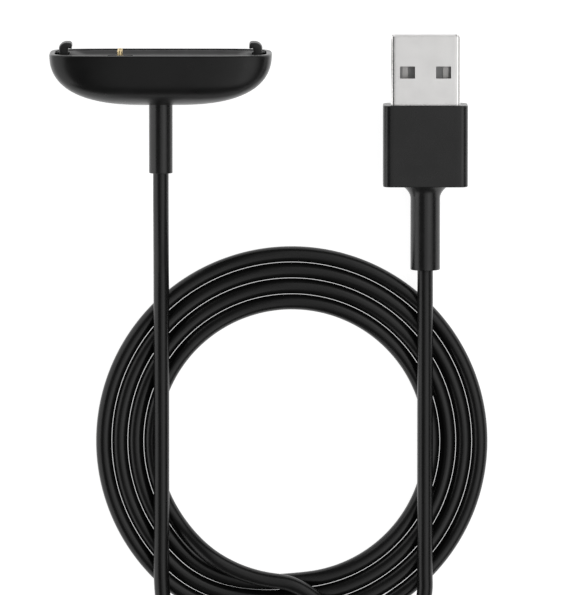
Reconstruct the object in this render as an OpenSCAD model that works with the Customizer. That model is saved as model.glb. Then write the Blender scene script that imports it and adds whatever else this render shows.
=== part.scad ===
// Charging cable for a wrist-worn tracker: a snap-in cradle, a coiled cord and a USB plug.
// The cable lies flat. Z is up from the surface it lies on, X runs along the cradle, and the
// cradle's mouth faces +Y. The origin is under the middle of the cradle.

/* [Cradle] */
// Length of the cradle
dock_len = 38.2; // [37.6:0.2:40]
// Depth of the cradle, which stands upright when the cable lies flat
dock_depth = 18; // [17.6:0.2:20]
// Height of the casing from its curved bottom to its rim
dock_height = 9; // [8.6:0.2:10]
// Wall thickness of the casing
wall = 1.3; // [1.1:0.1:1.3]
// How far the tracker's seat lies below the rim
seat_drop = 0.8; // [0.6:0.1:1]

/* [Snap hooks] */
// Height of the hooks above the rim
hook_rise = 1.8; // [1.8:0.1:2.4]
// Width of a hook across the cradle
hook_width = 4.7; // [3.6:0.1:5.4]
// Thickness of a hook's arm
hook_thick = 1.45; // [1.2:0.05:1.5]
// How far a hook's lip reaches over the tracker
lip_reach = 0.7; // [0.4:0.05:0.8]

/* [Contact pins] */
// Distance of the pin row from the middle of the cradle
pin_offset = 7; // [6:0.5:9]
// Distance between the two pins
pin_pitch = 4; // [3.6:0.1:4.4]
// Radius of a pin's tip
tip_r = 0.45; // [0.4:0.05:0.6]
// How far a free pin stands above the rim
tip_rise = 0.55; // [0.3:0.05:0.8]

/* [Cord] */
// Diameter of the cord
cord_d = 2.7; // [2.4:0.1:2.7]
// Number of turns in the coil
coil_turns = 4; // [2:1:5]
// Centreline radius of the outer turn
coil_r = 32.5; // [31.5:0.5:33.5]
// Distance between neighbouring turns
coil_pitch = 2.76; // [2.76:0.02:3]

/* [Plug] */
// Width of the overmould
grip_w = 14.6; // [14:0.2:16]
// Length of the overmould
grip_len = 14.1; // [13.6:0.1:18]
// Thickness of the overmould
grip_t = 7; // [7:0.1:8.4]
// Diameter of the plug's strain relief
relief_d = 5.1; // [4.4:0.1:5.4]

/* [Hidden] */
$fn = 48;

// Levels along Y
total_h = dock_height + hook_rise;
top_y = total_h / 2;
rim_y = top_y - hook_rise;
bottom_y = -total_h / 2;
seat_y = rim_y - seat_drop;
land_y = rim_y - 0.2;
ledge_y = seat_y - 1.3;
block_bottom = ledge_y - 2.5;
board_t = 1;
board_bottom = block_bottom - board_t;
shell_floor = bottom_y + wall;

// Cradle outlines
mid_z = dock_depth / 2;
rim_w = 0.95;
fit_gap = 0.05;
cover_len = dock_len - 2 * rim_w;
cover_depth = dock_depth - 2 * rim_w;
seat_len = 25.6;
seat_depth = 11.2;
outline_power = 5;

// Hooks, as distances from the cradle's middle
hook_in = dock_len / 2 - 3.1;
hook_out = hook_in + hook_thick;
lip_in = hook_in - lip_reach;
lip_under = rim_y + 0.76;
root_x = hook_in - 0.2;
root_y = rim_y - 5;
root_r = 0.65;
slot_in = hook_in - 0.35;
slot_out = dock_len / 2 - 1.02;
slot_half = hook_width / 2 + 0.35;

// Contact pins
barrel_r = 1;
bore_r = 0.75;
mouth_r = tip_r + 0.07;
collar_r = bore_r - 0.05;
barrel_top = seat_y;
mouth_y = barrel_top - 0.4;
bore_bottom = block_bottom + 0.4;
tip_y = rim_y + tip_rise;
collar_y = mouth_y - 0.05;
collar_len = 0.95;
spring_end = collar_y - collar_len;
spring_turns = 5;
spring_wire = 0.09;
pin_zs = [mid_z - pin_pitch / 2, mid_z + pin_pitch / 2];

// Cord and coil
cord_r = cord_d / 2;
coil_x = 22.5;
coil_y = -64.4;
coil_in = coil_r - (coil_turns - 1) * coil_pitch;
over_z = 3 * cord_r + 0.1;
dock_relief_d = 4.05;
dock_relief_end = -17.2;

// Plug
plug_x = 45.5;
plug_z = grip_t / 2;
grip_front = -5.8;
grip_back = grip_front - grip_len;
relief_end = grip_back - 14.5;
usb_w = 12;
usb_h = 4.5;
usb_t = 0.3;
usb_tip = 6.1;
usb_back = -10.5;
window_w = 2.6;
window_len = 2.1;
window_offset = 3.1;
tongue_top = plug_z + 0.1;
contact_xs = [-3.5, -1, 1, 3.5];
contact_w = 1;

// Route of the cord from the cradle: down over the coil, then round below it to the outer turn
dock_route = [
    [0, dock_relief_end, mid_z], [0, -23, 8.6], [0, -29, 7], [0, -35, 5], [0, -41, over_z],
    [0, -53, over_z], [0, -65, over_z], [0, -77, over_z], [0, -88, over_z],
    [0.6, -93, 3.6], [2.6, -97.6, 2.6], [6.2, -101, 1.7], [10.8, -102.8, cord_r],
    [16, -103.2, cord_r], [22, -102.2, cord_r], [28, -99.8, cord_r], [33, -96.6, cord_r]];
// Route of the cord to the plug: up from the inner turn, out over the coil and back up to the plug
plug_route = [
    [18.3, -88.25, over_z], [22.4, -89, over_z], [26, -91, over_z], [29.3, -94.2, over_z],
    [32.2, -97.6, over_z], [35.6, -100.1, over_z], [39.2, -100.5, over_z], [42.4, -98.7, over_z],
    [44.5, -95.2, over_z], [45.3, -91, over_z], [plug_x, -86, over_z], [plug_x, -74, over_z],
    [plug_x, -62, over_z], [plug_x, -50, over_z], [plug_x, -41, 4], [plug_x, relief_end, plug_z]];

// One coordinate of a superellipse
function squared(v, power) = sign(v) * pow(abs(v), 2 / power);
// Points round a superellipse with half-sizes a and b
function rounded_outline(a, b, power, count) = [
    for (i = [0:count - 1]) let (t = 360 * (i + 0.5) / count)
    [a * squared(cos(t), power), b * squared(sin(t), power)]];
// Share of the rim's length left at a share of the depth, and the same for its width
function boat_length(drop) = pow(1 - pow(drop, 2.4), 1 / 2.8);
function boat_width(drop) = drop < 0.2 ? 1 : pow(1 - pow((drop - 0.2) / 0.8, 3), 1 / 2.4);
// Points on an elliptical arc
function arc(x, y, rx, ry, from, to, steps) = [
    for (i = [0:steps]) let (t = from + (to - from) * i / steps) [x + rx * cos(t), y + ry * sin(t)]];

// Direction of a route at point i
function along(route, i) =
    let (d = route[min(i + 1, len(route) - 1)] - route[max(i - 1, 0)]) d / norm(d);
// Rings of points round a route; up is any direction that the route never follows
function tube_rings(route, r, sides, up) = [
    for (i = [0:len(route) - 1])
    let (t = along(route, i), across = cross(t, up), side = across / norm(across), top = cross(side, t))
    for (k = [0:sides - 1]) let (a = 360 * (k + 0.5) / sides)
    route[i] + r * (side * cos(a) + top * sin(a))];
// Smooth point between route points i and i + 1
function between(route, i, t) =
    let (n = len(route) - 1, a = route[max(i - 1, 0)], b = route[i], c = route[i + 1],
        d = route[min(i + 2, n)])
    0.5 * (2 * b + (c - a) * t + (2 * a - 5 * b + 4 * c - d) * t * t
        + (3 * b - a - 3 * c + d) * t * t * t);
// The route with extra points, so that none is further than gap from the next
function refined(route, gap) = concat(
    [for (i = [0:len(route) - 2]) let (steps = ceil(norm(route[i + 1] - route[i]) / gap))
        for (k = [0:steps - 1]) between(route, i, k / steps)],
    [route[len(route) - 1]]);

// A closed tube along a route
module tube(route, r, sides, up = [0, 0, 1]) {
    last = (len(route) - 1) * sides;
    polyhedron(
        points = tube_rings(route, r, sides, up),
        faces = concat(
            [[for (k = [0:sides - 1]) k]],
            [for (i = [0:len(route) - 2], k = [0:sides - 1], half = [0, 1])
                let (a = i * sides + k, b = i * sides + (k + 1) % sides)
                half == 0 ? [a, a + sides, b + sides] : [a, b + sides, b]],
            [[for (k = [sides - 1:-1:0]) last + k]]));
}

// A boat-shaped solid with its flat rim on top, pointing down along -Y
module boat(length, depth, height, count, levels) {
    // The last level is a small flat, so that the bottom isn't a single point
    drops = [for (j = [0:levels]) pow(sin(86 * j / levels), 2 / 2.2)];
    rim = rounded_outline(length / 2, depth / 2, outline_power, count);
    points = [
        for (j = [0:levels], p = rim)
        [p[0] * boat_length(drops[j]), -height * drops[j] / drops[levels], p[1] * boat_width(drops[j])]];
    polyhedron(
        points = points,
        faces = concat(
            [[for (k = [0:count - 1]) k]],
            [for (j = [0:levels - 1], k = [0:count - 1])
                let (a = j * count + k, b = j * count + (k + 1) % count)
                [a, a + count, b + count, b]],
            [[for (k = [count - 1:-1:0]) levels * count + k]]));
}

// Extrudes a shape drawn in X and Z upwards along Y
module extrude_y(from, to) {
    translate([0, from, 0]) rotate([-90, 0, 0]) linear_extrude(to - from) mirror([0, 1]) children();
}

// A cylinder along Y
module rod(x, z, r, from, to) {
    translate([x, from, z]) rotate([-90, 0, 0]) cylinder(r = r, h = to - from);
}

// A box given by two opposite corners
module block(low, high) {
    translate(low) cube(high - low);
}

// A rectangle with round corners, centred on the origin
module rounded_rectangle(w, h, r) {
    square([w - 2 * r, h], center = true);
    square([w, h - 2 * r], center = true);
    for (x = [-1, 1], y = [-1, 1]) translate([x * (w / 2 - r), y * (h / 2 - r)]) circle(r);
}

// Side outline of the right-hand hook, from its root up to the lip
function hook_outline() = concat(
    [[root_x - 0.5, root_y], [root_x + 0.5, root_y], [root_x + 0.7, root_y + 1],
        [hook_out, root_y + 3]],
    arc(hook_out - 1.27, top_y - 1.05, 1.27, 1.05, 0, 90, 8),
    arc(lip_in + 0.5, top_y - 0.5, 0.5, 0.5, 90, 180, 5),
    [[lip_in, lip_under + 0.12], [lip_in + 0.12, lip_under], [hook_in, lip_under + 0.1],
        [hook_in, root_y + 2.6], [root_x - 0.5, root_y + 1]]);

// Room for the right-hand hook in the casing, wide enough for it to spring outwards
function pocket_outline() = [
    [root_x - 0.58, root_y], [root_x + 0.6, root_y], [root_x + 0.95, root_y + 0.9],
    [slot_out - 0.15, root_y + 2.8], [slot_out, root_y + 4.8], [slot_out, rim_y + 1],
    [slot_in - 0.2, rim_y + 1], [slot_in - 0.6, root_y + 0.7]];

module dock_shell() {
    color("#1d1d1f") difference() {
        union() {
            difference() {
                translate([0, rim_y, mid_z]) boat(dock_len, dock_depth, dock_height, 56, 10);
                translate([0, rim_y + 0.01, mid_z])
                    boat(dock_len - 2 * wall, dock_depth - 2 * wall, rim_y + 0.01 - shell_floor, 44, 8);
                // Recess that the cover drops into
                extrude_y(ledge_y, rim_y + 1) translate([0, mid_z])
                    polygon(rounded_outline(cover_len / 2, cover_depth / 2, outline_power, 56));
            }
            // Posts under the contact board
            for (x = [-10, 2.5], z = [-4, 4]) rod(x, mid_z + z, 0.8, shell_floor - 0.6, board_bottom);
        }
        // Seat, neck and collar room of the strain relief
        rod(0, mid_z, dock_relief_d / 2, bottom_y - 1, bottom_y + 0.1);
        rod(0, mid_z, 1.5, bottom_y - 1, shell_floor + 1);
        rod(0, mid_z, 2.42, shell_floor, shell_floor + 1);
        for (side = [0, 1]) mirror([side, 0, 0]) {
            translate([root_x, root_y, mid_z])
                cylinder(r = root_r + fit_gap, h = hook_width + 0.1, center = true);
            translate([0, 0, mid_z]) linear_extrude(2 * slot_half, center = true)
                polygon(pocket_outline());
        }
    }
}

// The space above the tracker's seat: a flat floor with banked sides and ends
module seat_space() {
    bank = [cover_depth / 2, seat_depth / 2];
    side_outline = concat(
        [[-bank[0] - 1, rim_y + 1], [-bank[0] - 1, land_y]],
        arc(-bank[1], seat_y + 6.5, 6.5, 6.5, 247, 270, 4),
        arc(bank[1], seat_y + 6.5, 6.5, 6.5, 270, 293, 4),
        [[bank[0] + 1, land_y], [bank[0] + 1, rim_y + 1]]);
    end_outline = [
        [-seat_len / 2 - 2.4, land_y], [-seat_len / 2, seat_y], [seat_len / 2, seat_y],
        [seat_len / 2 + 2.4, land_y], [seat_len / 2 + 2.4, rim_y + 1], [-seat_len / 2 - 2.4, rim_y + 1]];
    intersection() {
        translate([0, 0, mid_z]) rotate([0, 90, 0])
            linear_extrude(dock_len, center = true) polygon(side_outline);
        linear_extrude(dock_depth) polygon(end_outline);
    }
}

module cradle_cover() {
    color("#262628") difference() {
        extrude_y(ledge_y, land_y) translate([0, mid_z])
            polygon(rounded_outline(cover_len / 2 - fit_gap, cover_depth / 2 - fit_gap,
                outline_power, 56));
        seat_space();
        block([-pin_offset - 2.15, ledge_y - 1, mid_z - 4.15], [-pin_offset + 2.15, rim_y, mid_z + 4.15]);
        for (side = [0, 1]) mirror([side, 0, 0])
            block([slot_in, ledge_y - 1, mid_z - slot_half], [dock_len, rim_y, mid_z + slot_half]);
    }
}

// The right-hand hook; its outer face bulges a little, like the end of the casing
module hook() {
    translate([0, 0, mid_z]) intersection() {
        union() {
            linear_extrude(hook_width, center = true) polygon(hook_outline());
            translate([root_x, root_y, 0]) cylinder(r = root_r, h = hook_width, center = true);
        }
        translate([hook_out - 18, 0, 0]) rotate([90, 0, 0])
            cylinder(r = 18, h = 4 * total_h, center = true, $fn = 160);
    }
}

module hook_left() {
    color("#232325") mirror([1, 0, 0]) hook();
}

module hook_right() {
    color("#232325") hook();
}

module pin_block() {
    color("#18181a") difference() {
        block([-pin_offset - 2.1, block_bottom, mid_z - 4.1],
            [-pin_offset + 2.1, seat_y - 0.1, mid_z + 4.1]);
        for (z = pin_zs) rod(-pin_offset, z, barrel_r + 0.02, block_bottom - 1, rim_y);
    }
}

module pin_barrel(z) {
    color("#c9a24a") difference() {
        union() {
            rod(-pin_offset, z, barrel_r, block_bottom, barrel_top);
            rod(-pin_offset, z, 0.4, board_bottom - 0.5, block_bottom + 0.1);
        }
        rod(-pin_offset, z, bore_r, bore_bottom, mouth_y);
        rod(-pin_offset, z, mouth_r, mouth_y - 0.1, barrel_top + 1);
    }
}

module pin_plunger(z) {
    color("#e2c06a") {
        rod(-pin_offset, z, tip_r, collar_y - 0.1, tip_y - tip_r);
        translate([-pin_offset, tip_y - tip_r, z]) sphere(tip_r);
        rod(-pin_offset, z, collar_r, spring_end, collar_y);
    }
}

module pin_spring(z) {
    steps = spring_turns * 12;
    low = bore_bottom + spring_wire;
    high = spring_end - spring_wire;
    coil = bore_r - 0.12 - spring_wire;
    turns = [for (i = [0:steps])
        [-pin_offset + coil * cos(30 * i), low + (high - low) * i / steps, z + coil * sin(30 * i)]];
    color("#b9bcc0") tube(turns, spring_wire, 5, [0, 1, 0]);
}

module contact_board() {
    color("#1f5a38") difference() {
        block([-12, board_bottom, mid_z - 5.5], [5, block_bottom, mid_z + 5.5]);
        for (z = pin_zs) rod(-pin_offset, z, 0.45, board_bottom - 1, block_bottom + 1);
    }
}

// A wire from the cord's end to a pad under the board, on one side of the middle
module dock_wire(side) {
    start = shell_floor + 0.8;
    tube([
        [0, start, mid_z + side * 0.6], [0, start + 0.25, mid_z + side * 0.6],
        [0.6, start + 0.6, mid_z + side * 0.9], [1.7, board_bottom - 0.35, mid_z + side * 1.4],
        [3, board_bottom - 0.35, mid_z + side * 2], [4.2, board_bottom - 0.35, mid_z + side * 2.3]],
        0.3, 8);
}

module dock_wire_positive() {
    color("#b3261e") dock_wire(1);
}

module dock_wire_negative() {
    color("#151515") dock_wire(-1);
}

module dock_strain_relief() {
    color("#1a1a1c") {
        rod(0, mid_z, dock_relief_d / 2, dock_relief_end, bottom_y + 0.1);
        rod(0, mid_z, 1.5, bottom_y - 0.5, shell_floor + 0.1);
        rod(0, mid_z, 2.4, shell_floor, shell_floor + 0.8);
    }
}

module cord_dock_run() {
    color("#161617") tube(refined(dock_route, 3 * cord_d), cord_r, 8);
}

module cord_coil() {
    color("#161617") translate([coil_x, coil_y, 0]) rotate_extrude($fn = 128)
        polygon(concat(
            arc(coil_r, cord_r, cord_r, cord_r, -90, 90, 8),
            arc(coil_in, cord_r, cord_r, cord_r, 90, 270, 8)));
}

module cord_plug_run() {
    color("#161617") tube(refined(plug_route, 3 * cord_d), cord_r, 8);
}

// Turned shape of the plug's relief: straight tube, concave flare, neck and anchoring flange
module plug_strain_relief() {
    flare = grip_t / 2 - 0.05;
    relief_r = relief_d / 2;
    outline = concat(
        [[0, relief_end], [relief_r - 0.15, relief_end], [relief_r, relief_end + 0.15]],
        arc(flare, grip_back - 2.1, flare - relief_r, 2.1, 180, 90, 8),
        [[2, grip_back], [2, grip_back + 1.4], [2.6, grip_back + 1.4], [2.6, grip_back + 2.9],
            [0, grip_back + 2.9]]);
    color("#1a1a1c") translate([plug_x, 0, plug_z]) rotate([-90, 0, 0])
        rotate_extrude() polygon(outline);
}

module plug_overmold() {
    color("#2b2b2d") difference() {
        extrude_y(grip_back, grip_front) translate([plug_x, plug_z])
            rounded_rectangle(grip_w, grip_t, 1.3);
        extrude_y(usb_back, grip_front + 1) translate([plug_x, plug_z])
            rounded_rectangle(usb_w, usb_h, 0.6);
        block([plug_x - 5.6, grip_back + 2.9, plug_z - 2.3], [plug_x + 5.6, usb_back + 0.1, plug_z + 2.3]);
        rod(plug_x, plug_z, 2.6, grip_back + 1.4, grip_back + 3);
        rod(plug_x, plug_z, 2, grip_back - 1, grip_back + 2);
    }
}

module plug_shell() {
    color("#d4d4d6") difference() {
        extrude_y(usb_back, usb_tip) translate([plug_x, plug_z]) rounded_rectangle(usb_w, usb_h, 0.6);
        extrude_y(usb_back - 1, usb_tip + 1) translate([plug_x, plug_z])
            rounded_rectangle(usb_w - 2 * usb_t, usb_h - 2 * usb_t, 0.3);
        for (side = [-1, 1]) translate([plug_x + side * window_offset, usb_tip - 6.25, plug_z])
            cube([window_w, window_len, usb_h + 1], center = true);
    }
}

module plug_tongue() {
    color("#8d8f92") difference() {
        block([plug_x - usb_w / 2 + usb_t + 0.1, usb_back, plug_z - usb_h / 2 + usb_t + 0.1],
            [plug_x + usb_w / 2 - usb_t - 0.1, usb_tip - 0.4, tongue_top]);
        for (i = [0:3]) contact_space(i, 0.02);
    }
}

// The bar that a contact fills, or its groove when grown by a gap
module contact_space(i, gap) {
    tip = usb_tip - (i == 0 || i == 3 ? 1.2 : 2.2);
    x = plug_x + contact_xs[i];
    block([x - contact_w / 2 - gap, usb_back - 2, tongue_top - 0.15],
        [x + contact_w / 2 + gap, tip + gap, tongue_top + 0.05 + gap]);
}

module contact_vbus() {
    color("#d8b765") contact_space(0, 0);
}

module contact_data_minus() {
    color("#d8b765") contact_space(1, 0);
}

module contact_data_plus() {
    color("#d8b765") contact_space(2, 0);
}

module contact_ground() {
    color("#d8b765") contact_space(3, 0);
}

// Pre-mould behind the shell, with a pocket for the solder joints and a bore for the crimp
module plug_inner_mold() {
    back = grip_back + 2.9;
    color("#e8e6df") difference() {
        block([plug_x - 5.6, back, plug_z - 2.3], [plug_x + 5.6, usb_back, plug_z + 2.3]);
        block([plug_x - 4.8, back + 1.5, plug_z - 1.2], [plug_x + 4.8, usb_back + 1, plug_z + 1.4]);
        rod(plug_x, plug_z, 1.9, back - 1, back + 1.6);
    }
}

module plug_crimp() {
    back = grip_back + 2.9;
    color("#bfc1c4") difference() {
        rod(plug_x, plug_z, 1.9, back, back + 1.6);
        rod(plug_x, plug_z, 1.5, back - 1, back + 3);
    }
}

// A wire from the cord's end to an outer contact's tail, on one side of the middle
module plug_wire(side) {
    start = grip_back + 2.9;
    end = usb_back - 0.3;
    wire_z = tongue_top + 0.05 + 0.34;
    tube([
        [plug_x + side * 0.6, start, plug_z], [plug_x + side * 0.7, start + 1.8, plug_z + 0.1],
        [plug_x + side * 1.5, start + 2.7, plug_z + 0.3], [plug_x + side * 2.6, start + 3.6, wire_z],
        [plug_x + side * 3.4, start + 4.5, wire_z], [plug_x + side * 3.5, end, wire_z]],
        0.3, 8);
}

module plug_wire_positive() {
    color("#b3261e") plug_wire(-1);
}

module plug_wire_negative() {
    color("#151515") plug_wire(1);
}

dock_shell();
cradle_cover();
hook_left();
hook_right();
pin_block();
pin_barrel(pin_zs[0]);  // pin_barrel_1
pin_barrel(pin_zs[1]);  // pin_barrel_2
pin_plunger(pin_zs[0]);  // pin_plunger_1
pin_plunger(pin_zs[1]);  // pin_plunger_2
pin_spring(pin_zs[0]);  // pin_spring_1
pin_spring(pin_zs[1]);  // pin_spring_2
contact_board();
dock_wire_positive();
dock_wire_negative();
dock_strain_relief();
cord_dock_run();
cord_coil();
cord_plug_run();
plug_strain_relief();
plug_overmold();
plug_shell();
plug_tongue();
contact_vbus();
contact_data_minus();
contact_data_plus();
contact_ground();
plug_inner_mold();
plug_crimp();
plug_wire_positive();
plug_wire_negative();
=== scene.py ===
"""Looks of a charging cable for a wrist-worn tracker: snap-in cradle, coiled cord and plug.

Shapes are worked out in millimetres in the model's own frame, and become metres as they enter a
mesh. The cradle lies on its side: its mouth faces +Y, and Z is up from the table.
"""
import math

import bpy
import numpy as np
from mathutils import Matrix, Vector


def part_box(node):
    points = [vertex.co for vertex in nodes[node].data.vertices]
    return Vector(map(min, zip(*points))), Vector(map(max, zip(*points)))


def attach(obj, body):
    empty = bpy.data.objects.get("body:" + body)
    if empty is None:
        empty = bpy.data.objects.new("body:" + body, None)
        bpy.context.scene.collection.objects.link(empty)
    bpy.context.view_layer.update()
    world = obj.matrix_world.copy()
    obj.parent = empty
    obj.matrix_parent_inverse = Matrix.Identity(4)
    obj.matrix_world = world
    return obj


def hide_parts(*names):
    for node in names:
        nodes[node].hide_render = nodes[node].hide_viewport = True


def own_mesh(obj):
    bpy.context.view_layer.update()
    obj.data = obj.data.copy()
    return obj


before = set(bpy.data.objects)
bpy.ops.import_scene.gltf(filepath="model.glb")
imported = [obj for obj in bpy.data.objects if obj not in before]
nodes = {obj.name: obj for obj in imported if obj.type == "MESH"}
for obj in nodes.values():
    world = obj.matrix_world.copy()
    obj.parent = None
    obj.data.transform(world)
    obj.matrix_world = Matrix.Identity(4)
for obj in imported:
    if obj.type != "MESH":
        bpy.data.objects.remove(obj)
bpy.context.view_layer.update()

MM = 0.001


def node_box(node):
    """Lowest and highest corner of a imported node, in millimetres."""
    low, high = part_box(node)
    return np.array(low) / MM, np.array(high) / MM


# ---------------------------------------------------------------------------------------------
# Camera: a long lens, leaning a little towards the cradle's mouth
# ---------------------------------------------------------------------------------------------
LENS = 630.0
LEAN = math.radians(5.65)
DISTANCE = 1798.0
AIM = np.array([21.5, -39.39, 2.0])


def make_camera():
    """A long lens, looking almost straight down from a little beyond the cradle's mouth."""
    data = bpy.data.cameras.new("camera")
    data.lens = LENS
    data.sensor_width = 36.0
    data.clip_start = 0.1
    data.clip_end = 20.0
    camera = bpy.data.objects.new("camera", data)
    bpy.context.collection.objects.link(camera)
    camera.location = (AIM + DISTANCE * np.array([0, math.sin(LEAN), math.cos(LEAN)])) * MM
    camera.rotation_euler = (-LEAN, 0, 0)
    bpy.context.scene.camera = camera


make_camera()


# ---------------------------------------------------------------------------------------------
# Mesh helpers
# ---------------------------------------------------------------------------------------------
def new_piece(name, points, faces, ngons=(), sharp=35):
    """A mesh object from points in millimetres, with its faces turned outwards.

    faces are quads; one whose first two points are the same is written as a triangle. ngons are
    flat end faces with any number of corners.
    """
    tris = np.concatenate([points[faces[:, [0, 1, 2]]], points[faces[:, [0, 2, 3]]]])
    inwards = np.einsum("ij,ij->i", tris[:, 0], np.cross(tris[:, 1], tris[:, 2])).sum() < 0
    rows = [row[1:] if row[0] == row[1] else row for row in faces.tolist()]
    rows += [list(ngon) for ngon in ngons]
    if inwards:
        rows = [row[::-1] for row in rows]
    mesh = bpy.data.meshes.new(name)
    mesh.from_pydata((points * MM).tolist(), [], rows)
    mesh.shade_smooth()
    mesh.set_sharp_from_angle(angle=math.radians(sharp))
    piece = bpy.data.objects.new(name, mesh)
    bpy.context.collection.objects.link(piece)
    return piece


def ring_stack(name, rings, ends="fan", sharp=35):
    """A closed solid through rings of points, given as rows of one array.

    ends is fan where the first and last ring close on their middle point, flat where each is one
    flat face, and loop where the last ring joins the first.
    """
    rows, cols = rings.shape[:2]
    points = rings.reshape(-1, 3)
    joins = rows if ends == "loop" else rows - 1
    row = np.arange(joins)[:, None] * cols
    col = np.arange(cols)[None, :]
    after = (col + 1) % cols
    below = (row + cols) % (rows * cols)
    faces = np.stack([row + col, row + after, below + after, below + col], axis=-1).reshape(-1, 4)
    ngons = ()
    if ends == "fan":
        middle, last = rows * cols, (rows - 1) * cols
        points = np.concatenate([points, rings[:1].mean(axis=1), rings[-1:].mean(axis=1)])
        hub = np.full(cols, middle)
        start = np.stack([hub, hub, after[0], col[0]], axis=-1)
        end = np.stack([hub + 1, hub + 1, last + col[0], last + after[0]], axis=-1)
        faces = np.concatenate([faces, start, end])
    elif ends == "flat":
        ngons = (range(cols - 1, -1, -1), range((rows - 1) * cols, rows * cols))
    return new_piece(name, points, faces, ngons, sharp)


def cut(piece, *cutters, sharp=35):
    """Takes the cutters' shapes out of a piece, and removes the cutters."""
    for cutter in cutters:
        step = piece.modifiers.new("cut", "BOOLEAN")
        step.operation = "DIFFERENCE"
        step.solver = "EXACT"
        step.object = cutter
    graph = bpy.context.evaluated_depsgraph_get()
    mesh = bpy.data.meshes.new_from_object(piece.evaluated_get(graph))
    piece.modifiers.clear()
    piece.data = mesh
    mesh.shade_smooth()
    mesh.set_sharp_from_angle(angle=math.radians(sharp))
    for cutter in cutters:
        bpy.data.objects.remove(cutter)


def superellipse(power, count):
    """Evenly spaced points round |x|^power + |y|^power = 1."""
    t = np.linspace(0, 2 * math.pi, 8 * count + 1)
    shape = np.stack([np.sign(f) * np.abs(f) ** (2 / power) for f in (np.cos(t), np.sin(t))], axis=1)
    run = np.concatenate([[0], np.cumsum(np.linalg.norm(np.diff(shape, axis=0), axis=1))])
    even = np.linspace(0, run[-1], count, endpoint=False)
    return np.stack([np.interp(even, run, shape[:, axis]) for axis in (0, 1)], axis=1)


def arc(x, y, rx, ry, start, end, steps):
    """Points on an elliptical arc, from one angle in degrees to another."""
    t = np.radians(np.linspace(start, end, steps + 1))
    return np.stack([x + rx * np.cos(t), y + ry * np.sin(t)], axis=1)


def rounded_rectangle(width, height, radius, steps=6):
    """Corner arcs with a point close beside each end, so that the flats between them stay flat."""
    margin = 0.1 * min(width, height)
    loop = []
    for quarter, (x, y) in enumerate([(1, 1), (-1, 1), (-1, -1), (1, -1)]):
        corner = arc(x * (width / 2 - radius), y * (height / 2 - radius), radius, radius,
                     90 * quarter, 90 * quarter + 90, steps)
        turn = math.radians(90 * quarter)
        ahead = np.array([-math.sin(turn), math.cos(turn)])
        beside = np.array([-math.cos(turn), -math.sin(turn)])
        loop += [[corner[0] - margin * ahead], corner, [corner[-1] + margin * beside]]
    return np.concatenate(loop)


def along_y(sections, x, z):
    """Rings from sections, each a list of points in X and Z and a level along Y."""
    return np.array([[[x + u, y, z + v] for u, v in outline] for outline, y in sections])


def soft_block(name, low, high, corner, edge):
    """A block along Y with round corners of one radius and rounded ends of another."""
    (width, _, height), middle = high - low, (low + high) / 2
    sections = []
    for y, towards in ((low[1], 1), (high[1], -1)):
        turns = np.radians(np.linspace(0, 90, 5))
        insets = edge * (1 - np.sin(turns))
        levels = y + towards * edge * (1 - np.cos(turns))
        some = [(rounded_rectangle(width - 2 * i, height - 2 * i, max(corner - i, 0.02)), level)
                for i, level in zip(insets, levels)]
        sections += some if towards > 0 else some[::-1]
    return ring_stack(name, along_y(sections, middle[0], middle[2]))


def lathe(name, profile, x, z, steps=56, sharp=35):
    """A profile of radii and levels turned about an axis along Y."""
    t = np.linspace(0, 2 * math.pi, steps, endpoint=False)
    radius, level = np.array(profile, dtype=float).T[:, :, None]
    rings = np.stack([x + radius * np.cos(t), level + 0 * t, z + radius * np.sin(t)], axis=-1)
    return ring_stack(name, rings, sharp=sharp)


def tube(name, path, radius, sides, up=(0, 0, 1)):
    """A round tube along a path; up is a direction that the path never follows."""
    ahead = np.gradient(path, axis=0)
    ahead /= np.linalg.norm(ahead, axis=1, keepdims=True)
    side = np.cross(ahead, np.array(up, dtype=float))
    side /= np.linalg.norm(side, axis=1, keepdims=True)
    top = np.cross(side, ahead)
    t = np.linspace(-0.5 * math.pi, 1.5 * math.pi, sides, endpoint=False)[None, :, None]
    rings = path[:, None] + radius * (side[:, None] * np.cos(t) + top[:, None] * np.sin(t))
    return ring_stack(name, rings)


def map_along(piece, path, radius, sides, name):
    """A flat map of a tube in metres: round the tube across it, and along the path up it."""
    run = np.concatenate([[0], np.cumsum(np.linalg.norm(np.diff(path, axis=0), axis=1))]) * MM
    mesh = piece.data
    corner = np.empty(len(mesh.loops), dtype=int)
    mesh.loops.foreach_get("vertex_index", corner)
    start = np.empty(len(mesh.polygons), dtype=int)
    mesh.polygons.foreach_get("loop_start", start)
    face = np.zeros(len(corner), dtype=int)
    face[start] = 1
    face = np.cumsum(face) - 1
    col = corner % sides
    last = np.zeros(len(start), dtype=bool)
    np.logical_or.at(last, face, col == sides - 1)
    col = np.where(last[face] & (col == 0), sides, col)
    row = np.minimum(corner // sides, len(path) - 1)
    values = np.stack([col / sides * 2 * math.pi * radius * MM, run[row]], axis=1)
    mesh.uv_layers.new(name=name).data.foreach_set("uv", values.ravel())


def smoothstep(value):
    """Three times the square less twice the cube of a value held between 0 and 1."""
    held = np.clip(value, 0, 1)
    return held * held * (3 - 2 * held)


def prism(name, outline, low, high):
    """An outline in X and Y extruded along Z between two levels."""
    rings = np.array([[[x, y, z] for x, y in outline] for z in (low, high)])
    return ring_stack(name, rings, ends="flat")


def box_prism(name, low, high):
    """A plain box between two corners, as a cutter."""
    outline = [(low[0], low[1]), (high[0], low[1]), (high[0], high[1]), (low[0], high[1])]
    return prism(name, outline, low[2], high[2])


# ---------------------------------------------------------------------------------------------
# Cord: the route of one continuous length, from the cradle through four turns to the plug
# ---------------------------------------------------------------------------------------------
CORD_D = 2.7
CORD_R = CORD_D / 2
OVER_Z = 3 * CORD_R + 0.1
COIL_X, COIL_Y = 22.5, -64.4
COIL_R = 32.5
COIL_PITCH = 2.76
MID_Z = 9.0
PLUG_X, PLUG_Z = 45.5, 3.5

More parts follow.
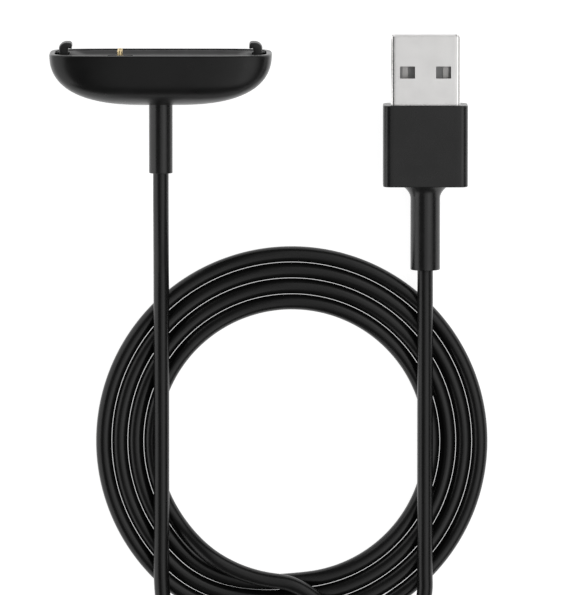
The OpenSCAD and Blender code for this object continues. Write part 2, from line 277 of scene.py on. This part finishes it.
DOCK_ROUTE = [
    [0, -17.2, MID_Z], [0, -23, 8.6], [0, -29, 7], [0, -35, 5], [0, -41, OVER_Z],
    [0, -53, OVER_Z], [0, -65, OVER_Z], [0, -77, OVER_Z], [0, -88, OVER_Z],
    [0.6, -93, 3.6], [2.6, -97.6, 2.6], [6.2, -101, 1.7], [10.8, -102.8, CORD_R],
    [16, -103.2, CORD_R], [22, -102.2, CORD_R], [28, -99.8, CORD_R], [33, -96.6, CORD_R]]
PLUG_ROUTE = [
    [22.4, -89, OVER_Z], [26, -91, OVER_Z], [28.6, -93.5, OVER_Z], [31.1, -95.9, OVER_Z],
    [33.8, -97.7, OVER_Z], [37, -98.3, OVER_Z], [40.2, -97.7, OVER_Z], [42.9, -95.9, OVER_Z],
    [44.8, -93.3, OVER_Z], [45.5, -90.1, OVER_Z], [45.5, -86, OVER_Z], [45.5, -74, OVER_Z],
    [45.5, -62, OVER_Z], [45.5, -50, OVER_Z], [45.5, -40.5, 4.12], [PLUG_X, -34.4, PLUG_Z]]


def coil_route():
    """Four turns; all three steps inwards lie side by side over the same arc at the bottom.

    The radius is the outer turn's, less one pitch for every step that the angle has passed. The
    arc is long enough for neighbouring turns to stay more than a diameter apart on the slant. The
    end of the inner turn climbs just before that arc, and passes above the last step.
    """
    angle = np.arange(305, 1701, 5, dtype=float)
    steps = sum(smoothstep((angle - start) / 48) for start in (588, 948, 1308))
    radius = COIL_R - COIL_PITCH * steps
    level = CORD_R + (OVER_Z - CORD_R) * smoothstep((angle - 1650) / 28)
    turn = np.radians(angle)
    return np.stack([COIL_X + radius * np.cos(turn), COIL_Y + radius * np.sin(turn), level], axis=1)


def smooth_path(route, gap):
    """A smooth curve through the route's points, with a point at least every gap."""
    padded = np.concatenate([route[:1], route, route[-1:]])
    pieces = []
    for a, b, c, d in zip(padded, padded[1:], padded[2:], padded[3:]):
        count = max(int(np.ceil(np.linalg.norm(c - b) / gap)), 1)
        t = (np.arange(count) / count)[:, None]
        pieces.append(0.5 * (2 * b + (c - a) * t + (2 * a - 5 * b + 4 * c - d) * t ** 2
                             + (3 * b - a - 3 * c + d) * t ** 3))
    return np.concatenate(pieces + [route[-1:]])


def make_cord():
    """The whole cord as a round tube along its route, with its middle never below one radius."""
    route = np.concatenate([np.array(DOCK_ROUTE, dtype=float), coil_route(),
                            np.array(PLUG_ROUTE, dtype=float)])
    path = smooth_path(route, 0.7)
    path[:, 2] = np.maximum(path[:, 2], CORD_R)
    piece = tube("cord", path, CORD_R, 24)
    map_along(piece, path, CORD_R, 24, "along_cord")
    return piece, path


# ---------------------------------------------------------------------------------------------
# Cradle casing
# ---------------------------------------------------------------------------------------------
shell_low, shell_high = node_box("dock_shell")
hook_low, hook_high = node_box("hook_right")
HALF_LEN = (shell_high[0] - shell_low[0]) / 2
HALF_DEPTH = 9.0
RIM_Y = shell_high[1]
HEIGHT = RIM_Y - shell_low[1]
TOP_Y = hook_high[1]
SEAT_Y = RIM_Y - 0.8
LAND_Y = RIM_Y - 0.2
LEDGE_Y = SEAT_Y - 1.3
RIM_W = 0.95
WALL = 1.3
OUTLINE = superellipse(5, 176)
HOOK_IN = HALF_LEN - 3.1
ROOT_Y = RIM_Y - 5
SLOT_HALF = 2.7


def boat_scale(drop):
    """Shares of the rim's length and depth that are left at a share of the height."""
    length = (1 - drop ** 2.4) ** (1 / 2.8)
    depth = (1 - (np.clip(drop - 0.2, 0, 1) / 0.8) ** 3) ** (1 / 2.4)
    return length, depth


def boat_rows(half_length, half_depth, height, turns):
    """Half-sizes and level of the boat's outlines, one row for each turn in degrees."""
    drop = np.sin(np.radians(turns)) ** (2 / 2.2)
    length, depth = boat_scale(drop)
    return np.stack([half_length * length, half_depth * depth, RIM_Y - height * drop], axis=1)


def inset_rows(insets, levels):
    """Rows of half-length, half-depth and level, each set in from the cradle's outline."""
    return np.array([[HALF_LEN - i, HALF_DEPTH - i, y] for i, y in zip(insets, levels)])


def outline_rings(rows, outline=OUTLINE):
    """The cradle's outline at each row's half-sizes and level."""
    rings = np.empty((len(rows), len(outline), 3))
    rings[:, :, 0] = rows[:, :1] * outline[:, 0]
    rings[:, :, 1] = rows[:, 2:3]
    rings[:, :, 2] = MID_Z + rows[:, 1:2] * outline[:, 1]
    return rings


def hook_pocket():
    """Room for the right-hand hook, wide enough for it to spring outwards."""
    slot_out = HALF_LEN - 1.02
    return [(HOOK_IN - 0.78, ROOT_Y), (HOOK_IN + 0.4, ROOT_Y), (HOOK_IN + 0.75, ROOT_Y + 0.9),
            (slot_out - 0.15, ROOT_Y + 2.8), (slot_out, ROOT_Y + 4.8), (slot_out, RIM_Y + 1),
            (HOOK_IN - 0.55, RIM_Y + 1), (HOOK_IN - 0.95, ROOT_Y + 0.7)]


def make_casing():
    """Outer boat, rounded rim, ledge for the cover and inner boat, as one closed surface."""
    rim_r, inner_r = 0.38, 0.15
    outer = boat_rows(HALF_LEN, HALF_DEPTH, HEIGHT, np.linspace(88.5, 4.6, 46))
    bend = np.radians(np.linspace(0, 90, 7))
    rim_out = inset_rows(rim_r * (1 - np.cos(bend)), RIM_Y - rim_r * (1 - np.sin(bend)))
    rim_in = inset_rows(RIM_W - inner_r * (1 - np.sin(bend)), RIM_Y - inner_r * (1 - np.cos(bend)))
    recess = inset_rows([RIM_W, RIM_W], [LEDGE_Y + 0.05, LEDGE_Y])
    inner = boat_rows(HALF_LEN - WALL, HALF_DEPTH - WALL, HEIGHT - WALL, np.linspace(0, 88, 40))
    inner = inner[inner[:, 2] < LEDGE_Y]
    ledge = inner[0].copy()
    ledge[2] = LEDGE_Y
    casing = ring_stack("casing", outline_rings(
        np.concatenate([outer, rim_out, rim_in, recess, [ledge], inner])))
    pocket = np.array(hook_pocket())
    left = pocket[::-1] * [-1, 1]
    cut(casing, prism("pocket_right", pocket, MID_Z - SLOT_HALF, MID_Z + SLOT_HALF),
        prism("pocket_left", left, MID_Z - SLOT_HALF, MID_Z + SLOT_HALF))
    return casing


def make_cover():
    """A plate whose top is a flat seat with smooth banks up to its two end lands.

    The height is the seat's, plus the drop times a smooth step of the distance past the seat.
    """
    half = np.array([HALF_LEN - RIM_W - 0.05, HALF_DEPTH - RIM_W - 0.05])
    shares = np.concatenate([np.linspace(0.03, 0.6, 12), np.linspace(0.62, 0.985, 34)])
    rows = np.stack([half[0] * shares, half[1] * shares, shares * 0], axis=1)
    top = outline_rings(rows)
    past_x = np.clip((np.abs(top[:, :, 0]) - 12.8) / 2.4, 0, 1)
    past_z = np.clip((np.abs(top[:, :, 2] - MID_Z) - 5.6) / 2.2, 0, 1)
    top[:, :, 1] = SEAT_Y + (LAND_Y - SEAT_Y) * smoothstep(np.hypot(past_x, past_z))
    edge = [[half[0] - i, half[1] - i, LAND_Y - d] for i, d in ((0.1, 0.02), (0.03, 0.08), (0, 0.2))]
    under = [[half[0] * s, half[1] * s, LEDGE_Y] for s in (1, 0.6, 0.1)]
    cover = ring_stack("cradle_plate", np.concatenate([top, outline_rings(np.array(edge + under))]))
    slot_in = HOOK_IN - 0.35
    cutters = [box_prism("slot", (min(a, b), LEDGE_Y - 1, MID_Z - SLOT_HALF),
                         (max(a, b), RIM_Y, MID_Z + SLOT_HALF))
               for a, b in ((slot_in, HALF_LEN), (-slot_in, -HALF_LEN))]
    block_low, block_high = node_box("pin_block")
    cutters.append(box_prism("pin_window", (block_low[0] - 0.05, LEDGE_Y - 1, block_low[2] - 0.05),
                             (block_high[0] + 0.05, RIM_Y, block_high[2] + 0.05)))
    cut(cover, *cutters)
    return cover


def hook_outline():
    """Side view of the right-hand hook: round root, leaning arm and rounded lip."""
    root_x, root_r = HOOK_IN - 0.2, 0.65
    hook_out, lip_in = hook_high[0], HOOK_IN - 0.7
    lip_under = RIM_Y + 0.76
    return np.concatenate([
        arc(root_x, ROOT_Y, root_r, root_r, 142, 398, 14),
        [[root_x + 0.7, ROOT_Y + 1], [hook_out - 0.35, ROOT_Y + 2.3], [hook_out, ROOT_Y + 3.1]],
        arc(hook_out - 1.27, TOP_Y - 1.05, 1.27, 1.05, 0, 90, 12),
        arc(lip_in + 0.5, TOP_Y - 0.5, 0.5, 0.5, 96, 180, 7),
        arc(lip_in + 0.12, lip_under + 0.12, 0.12, 0.12, 185, 265, 3),
        [[HOOK_IN - 0.12, lip_under + 0.04], [HOOK_IN, lip_under - 0.08], [HOOK_IN, ROOT_Y + 2.6],
         [root_x - 0.5, ROOT_Y + 1]]])


def shrunk(outline, inset):
    """An outline moved inwards along the normals at its points."""
    ahead = np.roll(outline, -1, axis=0) - np.roll(outline, 1, axis=0)
    ahead /= np.linalg.norm(ahead, axis=1, keepdims=True)
    return outline + inset * np.stack([-ahead[:, 1], ahead[:, 0]], axis=1)


def make_hook(name, side):
    """The hook's side view carried across its width, with rounded edges and a slight bulge."""
    outline = hook_outline()
    half = (hook_high[2] - hook_low[2]) / 2
    edge = 0.22
    bend = np.radians(np.linspace(0, 90, 5))
    near = [(edge * (1 - math.sin(b)), -half + edge * (1 - math.cos(b))) for b in bend]
    middle = [(0.0, z) for z in np.linspace(-half + 0.6, half - 0.6, 7)]
    far = [(inset, -z) for inset, z in reversed(near)]
    rings = []
    for inset, z in near + middle + far:
        shape = shrunk(outline, inset)
        bulge = 0.1 * (1 - (z / half) ** 2) * smoothstep((shape[:, 1] + 0.5) / 3)
        rings.append(np.stack([side * (shape[:, 0] + bulge - 0.1), shape[:, 1], MID_Z + z + 0 * bulge],
                              axis=1))
    return ring_stack(name, np.array(rings), ends="flat")


# ---------------------------------------------------------------------------------------------
# Contact pins
# ---------------------------------------------------------------------------------------------
def make_pin(number):
    """One sprung pin: a barrel with a rolled mouth, a domed plunger and its spring."""
    low, high = node_box(f"pin_plunger_{number}")
    x, z = (low[0] + high[0]) / 2, (low[2] + high[2]) / 2
    tip, collar, crown = 0.45, 0.7, 0.3
    dome = arc(tip - crown, high[1] - crown, crown, crown, 4, 90, 8)
    plunger = lathe(f"plunger_{number}", np.concatenate([
        [[0.3, low[1]], [collar - 0.08, low[1]], [collar, low[1] + 0.08]],
        [[collar, low[1] + 0.87], [collar - 0.08, low[1] + 0.95], [tip, low[1] + 0.97]], dome]), x, z)
    base, mouth = node_box(f"pin_barrel_{number}")
    foot, lip, bore, opening = base[1], mouth[1], 0.75, tip + 0.07
    rolled = arc(0.86, lip - 0.12, 0.14, 0.12, 0, 100, 6)
    barrel = lathe(f"barrel_{number}", np.concatenate([
        [[0.2, foot], [0.36, foot], [0.4, foot + 0.05], [0.4, foot + 1.5], [1, foot + 1.5]],
        rolled, [[opening + 0.08, lip], [opening, lip - 0.08], [opening, lip - 0.4], [bore, lip - 0.42],
                 [bore, foot + 1.9], [0.2, foot + 1.9]]]), x, z)
    spring_low, spring_high = node_box(f"pin_spring_{number}")
    wire, turns = 0.09, 5
    t = np.linspace(0, 1, turns * 24 + 1)
    height = spring_high[1] - spring_low[1] - 2 * wire
    path = np.stack([x + 0.54 * np.cos(2 * math.pi * turns * t), spring_low[1] + wire + height * t,
                     z + 0.54 * np.sin(2 * math.pi * turns * t)], axis=1)
    spring = tube(f"spring_{number}", path, wire, 10, up=(0, 1, 0))
    anchor = np.array([x, spring_low[1], z]) * MM
    return plunger, barrel, spring, anchor


def make_pin_block():
    """The pins' insulator, with rounded edges and a raised collar ring round each pin."""
    low, high = node_box("pin_block")
    block = soft_block("pin_insulator", low, high, 0.3, 0.12)
    cutters = []
    for number in (1, 2):
        pin_low, pin_high = node_box(f"pin_barrel_{number}")
        x, z = (pin_low[0] + pin_high[0]) / 2, (pin_low[2] + pin_high[2]) / 2
        cutters.append(lathe("bore", [[1.03, low[1] - 1], [1.03, high[1] - 0.12], [1.2, high[1] + 0.1],
                                      [1.2, high[1] + 1]], x, z))
    cut(block, *cutters)
    return block


# ---------------------------------------------------------------------------------------------
# Strain reliefs and plug
# ---------------------------------------------------------------------------------------------
def make_dock_relief():
    """A plain sleeve with a rounded end, turned from its profile, and a flange inside the casing."""
    low, high = node_box("dock_strain_relief")
    radius = 2.025
    bottom = shell_low[1]
    return lathe("dock_relief", np.concatenate([
        [[CORD_R - 0.1, low[1]], [radius - 0.14, low[1]]],
        arc(radius - 0.12, low[1] + 0.12, 0.12, 0.12, -70, 0, 5),
        [[radius, low[1] + 0.4], [radius, bottom - 0.5], [radius, bottom - 0.3],
         [radius, bottom + 0.3], [1.5, bottom + 0.35],
         [1.5, high[1] - 0.8], [2.4, high[1] - 0.8], [2.4, high[1]]]]), 0, MID_Z)


def make_plug_relief():
    """A straight sleeve that opens into the grip, wider across than through its thickness.

    Each half-width is the sleeve's radius, plus the extra at the grip times the square of the
    share of the flare's length that is past.
    """
    low, high = node_box("plug_strain_relief")
    back = node_box("plug_overmold")[0][1]
    radius, flare_len = 2.55, 2.2
    share = np.linspace(0, 1, 18) ** 0.7
    flare_y = back + 0.05 - flare_len * (1 - share)
    end = np.array([[CORD_R - 0.1, low[1]], [radius - 0.16, low[1]], [radius - 0.05, low[1] + 0.04],
                    [radius, low[1] + 0.16], [radius, low[1] + 0.4], [radius, flare_y[0] - 0.5]])
    neck = np.array([[2, back + 0.1], [2, back + 1.4], [2.6, back + 1.4], [2.6, high[1]]])
    level = np.concatenate([end[:, 1], flare_y, neck[:, 1]])[:, None]
    across, through = (
        np.concatenate([end[:, 0], radius + extra * share ** 2.05, neck[:, 0]])[:, None]
        for extra in (1.45, 0.88))
    t = np.linspace(0, 2 * math.pi, 72, endpoint=False)
    rings = np.stack([PLUG_X + across * np.cos(t), level + 0 * t, PLUG_Z + through * np.sin(t)],
                     axis=-1)
    return ring_stack("plug_relief", rings)


def make_grip():
    """The overmould: a block with round corners along its length and softened ends."""
    low, high = node_box("plug_overmold")
    width, height = high[0] - low[0], high[2] - low[2]
    corner, back_edge, front_edge = 1.3, 0.22, 0.25
    sections = []
    for y, towards, edge in ((low[1], 1, back_edge), (high[1], -1, front_edge)):
        turns = np.radians(np.linspace(0, 90, 8))
        insets = edge * (1 - np.sin(turns))
        levels = y + towards * edge * (1 - np.cos(turns))
        some = [(rounded_rectangle(width - 2 * i, height - 2 * i, corner - i, 10), level)
                for i, level in zip(insets, levels)]
        some.append((rounded_rectangle(width, height, corner, 10), y + towards * 2 * edge))
        sections += some if towards > 0 else some[::-1]
    return ring_stack("grip", along_y(sections, PLUG_X, PLUG_Z))


def make_usb_shell():
    """A folded sheet tube, drawn in a little at its mouth, with two windows through each face."""
    low, high = node_box("plug_shell")
    width, height, sheet = high[0] - low[0], high[2] - low[2], 0.3
    outer = [(0, low[1]), (0, low[1] + 1), (0, high[1] - 0.7), (0, high[1] - 0.16),
             (0.02, high[1] - 0.08), (0.06, high[1] - 0.02), (0.12, high[1])]
    inner = [(sheet - 0.05, high[1]), (sheet, high[1] - 0.1), (sheet, high[1] - 1), (sheet, low[1])]
    sections = [(rounded_rectangle(width - 2 * i, height - 2 * i, 0.62 - i, 8), y) for i, y in outer]
    sections += [(rounded_rectangle(width - 2 * i, height - 2 * i, 0.36, 8), y) for i, y in inner]
    shell = ring_stack("usb_shell", along_y(sections, PLUG_X, PLUG_Z), ends="loop")
    half_w, half_l, offset, centre_y = 1.3, 1.05, 3.1, high[1] - 6.25
    cutters = []
    for side in (-1, 1):
        x = PLUG_X + side * offset
        cutters.append(soft_window("window", x, centre_y, half_w, half_l))
    seam = [(PLUG_X - 0.04, low[1] - 1), (PLUG_X + 0.04, low[1] - 1), (PLUG_X + 0.04, high[1] + 1),
            (PLUG_X - 0.04, high[1] + 1)]
    cutters.append(prism("seam", seam, -1, PLUG_Z - height / 2 + 0.2))
    cut(shell, *cutters)
    return shell


def soft_window(name, x, y, half_w, half_l):
    """A window's cutter, with slightly rounded corners."""
    outline = rounded_rectangle(2 * half_w, 2 * half_l, 0.14, 4) + [x, y]
    return prism(name, outline, -2, 2 * PLUG_Z + 2)


def make_tongue():
    """The plug's insulating tongue: a block with softened edges that fills its node's box."""
    low, high = node_box("plug_tongue")
    return soft_block("tongue", low, high, 0.12, 0.2)


def make_contact(node):
    """A contact strip: a thin block with softened edges that fills its node's box."""
    low, high = node_box(node)
    return soft_block(node + "_strip", low, high, 0.04, 0.05)


# ---------------------------------------------------------------------------------------------
# Finishes: effects shared by several materials
# ---------------------------------------------------------------------------------------------
def add_node(tree, kind, into=None, **options):
    """Adds a node, sets its options, and fills the inputs named in into with values or links."""
    made = tree.nodes.new(kind)
    for option, value in options.items():
        setattr(made, option, value)
    for socket, value in (into or {}).items():
        if isinstance(value, bpy.types.NodeSocket):
            tree.links.new(value, made.inputs[socket])
        else:
            made.inputs[socket].default_value = value
    return made


def new_group(name, inputs, output, output_kind="NodeSocketFloat"):
    """An empty node group with named inputs at usual values and one output."""
    group = bpy.data.node_groups.new(name, "ShaderNodeTree")
    for label, value in inputs.items():
        kind = "NodeSocketColor" if isinstance(value, tuple) else "NodeSocketFloat"
        group.interface.new_socket(label, in_out="INPUT", socket_type=kind).default_value = value
    group.interface.new_socket(output, in_out="OUTPUT", socket_type=output_kind)
    return group, group.nodes.new("NodeGroupInput").outputs, group.nodes.new("NodeGroupOutput").inputs


def grain_noise(group, vector, size, detail):
    """Noise whose grains are size millimetres across, on a vector in metres."""
    density = add_node(group, "ShaderNodeMath", {0: 1 / MM, 1: size}, operation="DIVIDE")
    spread = add_node(group, "ShaderNodeVectorMath", {0: vector, "Scale": density.outputs[0]},
                      operation="SCALE")
    return add_node(group, "ShaderNodeTexNoise", {"Vector": spread.outputs[0], "Scale": 1.0,
                                                  "Detail": detail}).outputs[0]


def make_grain_group():
    """Fine moulded grain: a height from noise with grains of one size."""
    group, given, result = new_group("fine_grain", {"Size": 0.1}, "Height")
    place = add_node(group, "ShaderNodeTexCoord").outputs["Object"]
    noise = grain_noise(group, place, given["Size"], 2.0)
    group.links.new(noise, result["Height"])
    return group


def make_film_group():
    """Handling film: roughness that drifts between two values in soft patches."""
    group, given, result = new_group(
        "handling_film", {"Size": 4.0, "Least": 0.3, "Most": 0.45}, "Roughness")
    place = add_node(group, "ShaderNodeTexCoord").outputs["Object"]
    noise = grain_noise(group, place, given["Size"], 3.0)
    spread = add_node(group, "ShaderNodeMapRange", {
        "Value": noise, "From Min": 0.3, "From Max": 0.7, "To Min": given["Least"],
        "To Max": given["Most"]})
    group.links.new(spread.outputs[0], result["Roughness"])
    return group


def make_shade_group():
    """Shade drift: a colour that wanders between two shades in soft patches."""
    group, given, result = new_group(
        "shade_drift", {"Size": 6.0, "Dark": (0.01, 0.01, 0.01, 1), "Light": (0.02, 0.02, 0.02, 1)},
        "Color", "NodeSocketColor")
    place = add_node(group, "ShaderNodeTexCoord").outputs["Object"]
    noise = grain_noise(group, place, given["Size"], 2.0)
    share = add_node(group, "ShaderNodeMapRange", {"Value": noise, "From Min": 0.3, "From Max": 0.7})
    mixed = add_node(group, "ShaderNodeMix", {"Factor": share.outputs[0]}, data_type="RGBA")
    group.links.new(given["Dark"], mixed.inputs[6])
    group.links.new(given["Light"], mixed.inputs[7])
    group.links.new(mixed.outputs[2], result["Color"])
    return group


def make_lines_group():
    """Drawn lines: noise drawn out forty times along Y, as rolled and drawn metal shows."""
    group, given, result = new_group("drawn_lines", {"Size": 0.08}, "Height")
    place = add_node(group, "ShaderNodeTexCoord").outputs["Object"]
    drawn = add_node(group, "ShaderNodeVectorMath", {0: place, 1: (1.0, 0.025, 1.0)},
                     operation="MULTIPLY")
    noise = grain_noise(group, drawn.outputs[0], given["Size"], 2.0)
    group.links.new(noise, result["Height"])
    return group


GRAIN, FILM, SHADE, LINES = (make_grain_group(), make_film_group(), make_shade_group(),
                             make_lines_group())


def place_group(tree, group, **values):
    """A shared effect placed in a material with its own values; gives its output."""
    made = add_node(tree, "ShaderNodeGroup", node_tree=group)
    for label, value in values.items():
        made.inputs[label].default_value = value
    return made.outputs[0]


def grey(value, warm=0.0):
    """A near-neutral colour; warm moves it towards brown, and below nought towards blue."""
    return (value * (1 + warm), value, value * (1 - warm), 1.0)


def new_material(name, colour, roughness, height, depth, **shader):
    """A Principled material; its colour, roughness and height each come from a shared effect."""
    material = bpy.data.materials.new(name + "_finish")
    material.use_nodes = True
    tree = material.node_tree
    principled = tree.nodes["Principled BSDF"]
    bump = add_node(tree, "ShaderNodeBump", {"Height": height(tree), "Distance": depth * MM,
                                             "Strength": 1.0})
    tree.links.new(bump.outputs["Normal"], principled.inputs["Normal"])
    tree.links.new(colour(tree), principled.inputs["Base Color"])
    tree.links.new(roughness(tree), principled.inputs["Roughness"])
    for label, value in shader.items():
        principled.inputs[label.replace("_", " ")].default_value = value
    return material


def effect(group, **values):
    """An effect with its values, to be placed once its material exists."""
    return lambda tree: place_group(tree, group, **values)


def plastic(name, dark, light, least, most, grain=0.12, depth=0.004, **shader):
    """Moulded plastic: shade drift, handling film and fine grain."""
    return new_material(name, effect(SHADE, Size=5.0, Dark=dark, Light=light),
                        effect(FILM, Size=3.0, Least=least, Most=most),
                        effect(GRAIN, Size=grain), depth, **shader)


def metal(name, dark, light, least, most, lines=0.06, depth=0.0006):
    """Plated or drawn metal: shade drift, handling film and drawn lines."""
    return new_material(name, effect(SHADE, Size=3.0, Dark=dark, Light=light),
                        effect(FILM, Size=1.5, Least=least, Most=most),
                        effect(LINES, Size=lines), depth, Metallic=1.0)


def jacket_streaks(tree):
    """Faint streaks along an extruded jacket: noise on the cord's own map, stretched lengthwise."""
    place = add_node(tree, "ShaderNodeUVMap", uv_map="along_cord").outputs[0]
    drawn = add_node(tree, "ShaderNodeVectorMath", {0: place, 1: (3500.0, 60.0, 1.0)},
                     operation="MULTIPLY")
    return add_node(tree, "ShaderNodeTexNoise", {"Vector": drawn.outputs[0], "Scale": 1.0,
                                                 "Detail": 2.0}).outputs[0]


def cord_jacket():
    """Soft extruded jacket: satin, with faint lengthwise streaks."""
    return new_material("cord_jacket", effect(SHADE, Size=9.0, Dark=grey(0.003), Light=grey(0.006)),
                        effect(FILM, Size=5.0, Least=0.24, Most=0.32), jacket_streaks, 0.004, IOR=1.42)


def circuit_board():
    """Green solder mask over copper tracks: narrow lighter lines between staggered areas."""
    def masked(tree):
        """The colour of the mask and its tracks."""
        place = add_node(tree, "ShaderNodeTexCoord").outputs["Object"]
        turned = add_node(tree, "ShaderNodeMapping", {"Vector": place,
                                                      "Rotation": (math.radians(-90), 0, 0)})
        tracks = add_node(tree, "ShaderNodeTexBrick", {
            "Vector": turned.outputs[0], "Color1": (0.01, 0.09, 0.03, 1),
            "Color2": (0.015, 0.12, 0.045, 1), "Mortar": (0.03, 0.2, 0.08, 1), "Scale": 400.0,
            "Mortar Size": 0.03})
        return tracks.outputs["Color"]
    return new_material("circuit_board", masked, effect(FILM, Size=2.0, Least=0.25, Most=0.4),
                        effect(GRAIN, Size=0.3), 0.004)


FINISH = {made.name.removesuffix("_finish"): made for made in [
    plastic("casing_black", grey(0.004), grey(0.006), 0.27, 0.35, depth=0.003, IOR=1.38),
    plastic("cover_black", grey(0.004), grey(0.006), 0.55, 0.63, depth=0.006, IOR=1.45),
    # The hooks' black is about three times lighter than the casing's black. This is painted fill light
    # that lifts the hooks out of the shade beside the casing's end wall.
    plastic("hook_black", grey(0.014), grey(0.018), 0.40, 0.48, depth=0.003),
    plastic("insulator_black", grey(0.012), grey(0.016), 0.38, 0.5),
    metal("gold_plate", (0.72, 0.56, 0.30, 1), (0.82, 0.66, 0.38, 1), 0.2, 0.3),
    metal("spring_steel", grey(0.45), grey(0.6), 0.22, 0.34),
    circuit_board(),
    plastic("wire_red", (0.45, 0.012, 0.01, 1), (0.55, 0.02, 0.015, 1), 0.35, 0.45),
    plastic("wire_black", grey(0.012), grey(0.02), 0.35, 0.45),
    plastic("relief_black", grey(0.004), grey(0.007), 0.24, 0.32, depth=0.003),
    cord_jacket(),
    plastic("grip_black", grey(0.005), grey(0.008), 0.24, 0.31, grain=0.16, depth=0.004),
    metal("nickel_plate", grey(0.86, 0.01), grey(0.92, 0.01), 0.20, 0.26, depth=0.002),
    plastic("tongue_grey", grey(0.42), grey(0.48), 0.42, 0.5),
    metal("contact_tin", grey(0.46, 0.02), grey(0.54, 0.02), 0.3, 0.4),
    plastic("inner_mold_white", grey(0.62), grey(0.70), 0.45, 0.55),
]}


# ---------------------------------------------------------------------------------------------
# Making: the cord first, then the cradle, the pins and the plug
# ---------------------------------------------------------------------------------------------
def dress(piece, body, slot, *replaced):
    """Fixes a piece to its body, gives it its finish and hides the nodes it stands for."""
    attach(piece, body)
    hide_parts(*replaced)
    piece.data.materials.clear()
    piece.data.materials.append(FINISH[slot])


cord, cord_path = make_cord()
dress(cord, "cable", "cord_jacket", "cord_dock_run", "cord_coil", "cord_plug_run")

dress(make_casing(), "cable", "casing_black", "dock_shell")
dress(make_cover(), "cable", "cover_black", "cradle_cover")
dress(make_hook("right_snap_hook", 1), "right_hook", "hook_black", "hook_right")
dress(make_hook("left_snap_hook", -1), "left_hook", "hook_black", "hook_left")

dress(make_pin_block(), "cable", "insulator_black", "pin_block")
for number in (1, 2):
    plunger, barrel, spring, anchor = make_pin(number)
    dress(plunger, f"pin_{number}", "gold_plate", f"pin_plunger_{number}")
    dress(barrel, "cable", "gold_plate", f"pin_barrel_{number}")
    dress(spring, "cable", "spring_steel", f"pin_spring_{number}")
    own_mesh(spring)

dress(make_dock_relief(), "cable", "relief_black", "dock_strain_relief")
plug_relief, grip, usb_shell, tongue = (make_plug_relief(), make_grip(), make_usb_shell(),
                                        make_tongue())
dress(plug_relief, "cable", "relief_black", "plug_strain_relief")
dress(grip, "cable", "grip_black", "plug_overmold")
dress(usb_shell, "cable", "nickel_plate", "plug_shell")
dress(tongue, "cable", "tongue_grey", "plug_tongue")
CONTACTS = ("contact_vbus", "contact_data_minus", "contact_data_plus", "contact_ground")
strips = [make_contact(name) for name in CONTACTS]
for strip, name in zip(strips, CONTACTS):
    dress(strip, "cable", "contact_tin", name)

KEPT = {"contact_board": "circuit_board", "dock_wire_positive": "wire_red",
        "dock_wire_negative": "wire_black", "plug_inner_mold": "inner_mold_white",
        "plug_crimp": "nickel_plate", "plug_wire_positive": "wire_red",
        "plug_wire_negative": "wire_black"}
for name, slot in KEPT.items():
    nodes[name].material_slots[0].material = FINISH[slot]


# ---------------------------------------------------------------------------------------------
# Stage: a white table, a dim room and two softboxes
# ---------------------------------------------------------------------------------------------
def make_table():
    """A large square in the table's plane that glows a little, so that it stays white."""
    half = 6000.0
    points = np.array([[-half, -half, 0], [half, -half, 0], [half, half, 0], [-half, half, 0]])
    table = new_piece("table", points, np.array([[0, 1, 2, 3]]))
    material = bpy.data.materials.new("table_white")
    material.use_nodes = True
    shader = material.node_tree.nodes["Principled BSDF"]
    shader.inputs["Base Color"].default_value = (0.4, 0.4, 0.4, 1)
    shader.inputs["Roughness"].default_value = 0.9
    shader.inputs["Emission Color"].default_value = (1, 1, 1, 1)
    shader.inputs["Emission Strength"].default_value = 0.9
    table.data.materials.append(material)


def softbox(name, bearing, zenith, distance, across, along, radiance):
    """A rectangular lamp aimed at the cable from a bearing and an angle down from overhead."""
    data = bpy.data.lights.new(name, "AREA")
    data.shape = "RECTANGLE"
    data.size, data.size_y = across, along
    data.energy = radiance * math.pi * across * along
    lamp = bpy.data.objects.new(name, data)
    bpy.context.collection.objects.link(lamp)
    turn, tilt = math.radians(bearing), math.radians(zenith)
    target = np.array([22.0, -45.0, 0.0]) * MM
    away = np.array([math.sin(tilt) * math.cos(turn), math.sin(tilt) * math.sin(turn), math.cos(tilt)])
    lamp.location = target + distance * away
    lamp.rotation_euler = (0, tilt, turn)
    lamp.visible_camera = False


def make_stage():
    """The table, a soft lamp on each side and one overhead, in a dim even room."""
    make_table()
    softbox("left_softbox", 180, 76, 0.9, 0.85, 2.4, 1.3)
    softbox("overhead_softbox", 0, 28, 1.1, 1.4, 3.0, 0.70)
    softbox("right_softbox", 0, 33, 1.0, 0.5, 2.4, 0.55)
    world = bpy.data.worlds.new("room")
    world.use_nodes = True
    world.node_tree.nodes["Background"].inputs["Color"].default_value = (0.10, 0.10, 0.10, 1)
    bpy.context.scene.world = world
    bpy.context.scene.view_settings.view_transform = "Standard"


make_stage()
